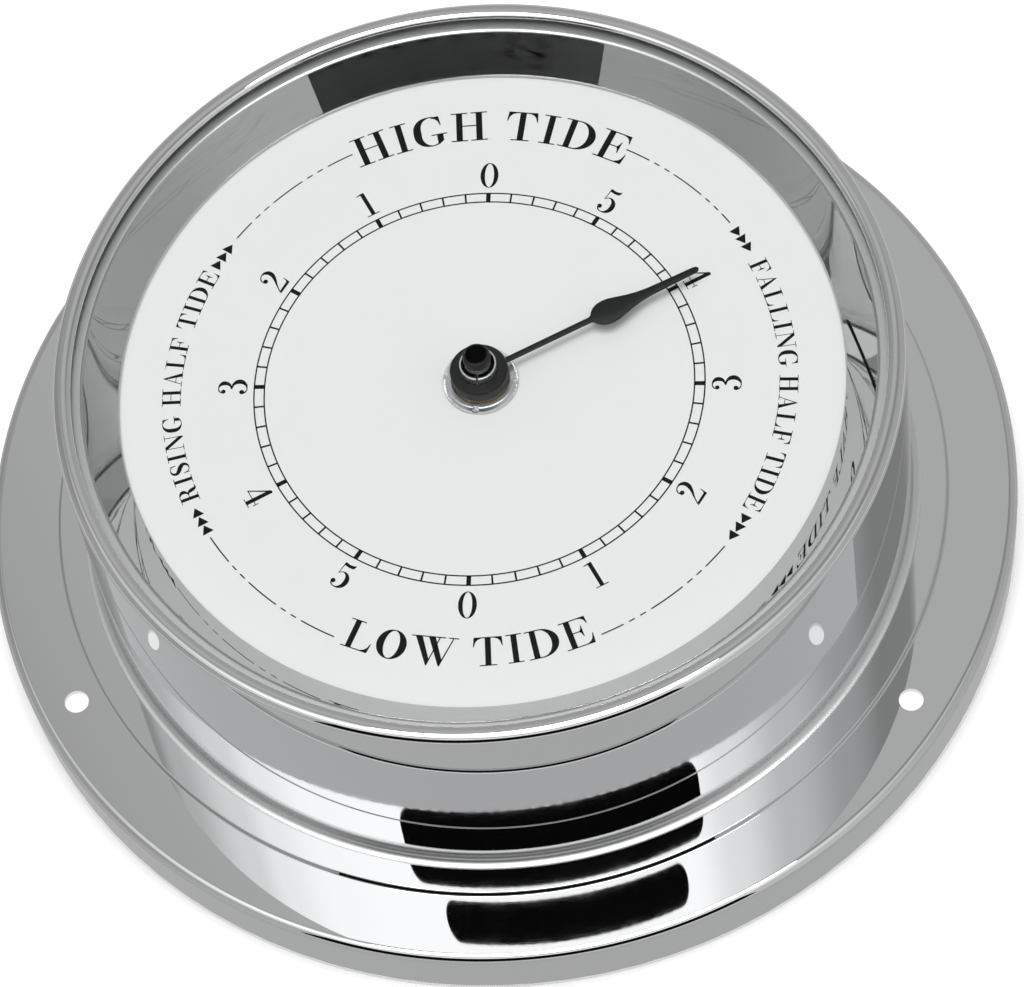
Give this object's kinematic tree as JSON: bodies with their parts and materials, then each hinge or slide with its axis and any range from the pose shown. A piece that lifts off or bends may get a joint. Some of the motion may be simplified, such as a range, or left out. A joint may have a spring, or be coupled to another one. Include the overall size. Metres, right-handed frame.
{
  "type": "tide clock",
  "caption": "Round nautical tide clock: polished metal drum case with a screw flange, domed glass, white dial and a single hand driven by a geared battery movement.",
  "frame": {"origin": "centre of the flange's bottom plane, which lies against the wall", "axes": "+Z out of the dial towards the viewer, +Y towards the high tide mark at the top of the dial, +X to the right"},
  "size_m": [0.15, 0.15, 0.0489],
  "materials": {
    "chromed_brass": "polished chrome plate on spun brass",
    "lens_glass": "clear polished glass",
    "gasket_pvc": "clear grey soft PVC",
    "visor_chrome": "polished chrome plate",
    "dial_white": "aluminium, matt white lacquer, black print",
    "spring_steel": "bare spring steel",
    "washer_rubber": "black rubber",
    "bush_brass": "turned brass",
    "nut_silver": "nickelled, lightly turned",
    "movement_black": "black moulded ABS",
    "cover_black": "black moulded ABS",
    "plate_natural": "natural white acetal",
    "screw_steel": "zinc plated steel",
    "stator_iron": "annealed nickel iron sheet",
    "core_iron": "annealed nickel iron sheet",
    "bobbin_plastic": "dark brown moulded nylon",
    "winding_copper": "enamelled copper wire",
    "board_green": "green solder mask",
    "crystal_can": "bright metal can",
    "chip_epoxy": "black epoxy",
    "contact_nickel": "nickel plated spring strip",
    "hand_black": "satin black lacquer",
    "pipe_silver": "plated pipe on a moulded wheel",
    "wheel_acetal": "natural acetal",
    "arbor_steel": "bright steel",
    "cap_black": "satin black",
    "clutch_bronze": "phosphor bronze",
    "wheel_red": "red acetal",
    "knob_black": "black moulded ABS",
    "magnet_grey": "sintered magnet",
    "battery_wrap": "plain blue sleeve, bright steel ends"
  },
  "bodies": {
    "case": {"case_body": "chromed_brass", "glass_lens": "lens_glass", "glass_gasket": "gasket_pvc", "visor_ring": "visor_chrome", "dial_plate": "dial_white", "spring_ring": "spring_steel", "dial_washer": "washer_rubber", "threaded_bush": "bush_brass", "ring_nut": "nut_silver", "movement_case": "movement_black", "back_cover": "cover_black", "train_plate": "plate_natural", "plate_screws": "screw_steel", "stator": "stator_iron", "coil_core": "core_iron", "coil_bobbin": "bobbin_plastic", "coil_winding": "winding_copper", "circuit_board": "board_green", "quartz_crystal": "crystal_can", "driver_chip": "chip_epoxy", "contact_plus": "contact_nickel", "contact_minus": "contact_nickel"},
    "hand": {"tide_hand": "hand_black", "tide_wheel": "pipe_silver"},
    "minute_train": {"minute_wheel": "wheel_acetal"},
    "arbor": {"centre_arbor": "arbor_steel", "shaft_cap": "cap_black", "clutch_spring": "clutch_bronze"},
    "setting": {"setting_wheel": "wheel_red", "setting_knob": "knob_black"},
    "centre_train": {"centre_wheel": "wheel_acetal"},
    "third_train": {"third_wheel": "wheel_acetal"},
    "fourth_train": {"fourth_wheel": "wheel_acetal"},
    "step_train": {"step_wheel": "wheel_acetal"},
    "rotor": {"rotor_pinion": "wheel_acetal", "rotor_magnet": "magnet_grey"},
    "cell": {"battery": "battery_wrap"}
  },
  "joints": [
    {"name": "tide_turn", "type": "hinge", "parent": "case", "child": "hand", "pos_m": [0, 0, 0.038], "axis": [0, 0, -1], "continuous": true},
    {"name": "minute_turn", "type": "hinge", "parent": "case", "child": "minute_train", "pos_m": [0.0074, 0, 0.034], "axis": [0, 0, -1], "continuous": true},
    {"name": "arbor_turn", "type": "hinge", "parent": "case", "child": "arbor", "pos_m": [0, 0, 0.032], "axis": [0, 0, -1], "continuous": true},
    {"name": "knob_turn", "type": "hinge", "parent": "case", "child": "setting", "pos_m": [0.01483, -0.00347, 0.028], "axis": [0, 0, -1], "continuous": true},
    {"name": "fourth_turn", "type": "hinge", "parent": "case", "child": "fourth_train", "pos_m": [-0.00376, 0.0104, 0.027], "axis": [0, 0, -1], "continuous": true},
    {"name": "centre_turn", "type": "hinge", "parent": "case", "child": "centre_train", "pos_m": [0, 0, 0.03], "axis": [0, 0, -1], "continuous": true},
    {"name": "third_turn", "type": "hinge", "parent": "case", "child": "third_train", "pos_m": [0.0051, 0.00883, 0.028], "axis": [0, 0, -1], "continuous": true},
    {"name": "step_turn", "type": "hinge", "parent": "case", "child": "step_train", "pos_m": [-0.01, 0.014, 0.027], "axis": [0, 0, -1], "continuous": true},
    {"name": "rotor_turn", "type": "hinge", "parent": "case", "child": "rotor", "pos_m": [-0.0128, 0.01885, 0.026], "axis": [0, 0, -1], "continuous": true},
    {"name": "battery_slide", "type": "slide", "parent": "case", "child": "cell", "axis": [0, 0, -1], "range_m": [0, 0.02]}
  ],
  "couplings": [
    {"joint": "minute_turn", "follows": "tide_turn", "ratio": -4.6},
    {"joint": "arbor_turn", "follows": "tide_turn", "ratio": 12.42},
    {"joint": "knob_turn", "follows": "tide_turn", "ratio": 8.8714},
    {"joint": "rotor_turn", "follows": "fourth_turn", "ratio": 30},
    {"joint": "step_turn", "follows": "fourth_turn", "ratio": -5},
    {"joint": "third_turn", "follows": "fourth_turn", "ratio": -0.125},
    {"joint": "centre_turn", "follows": "fourth_turn", "ratio": 0.016667}
  ]
}
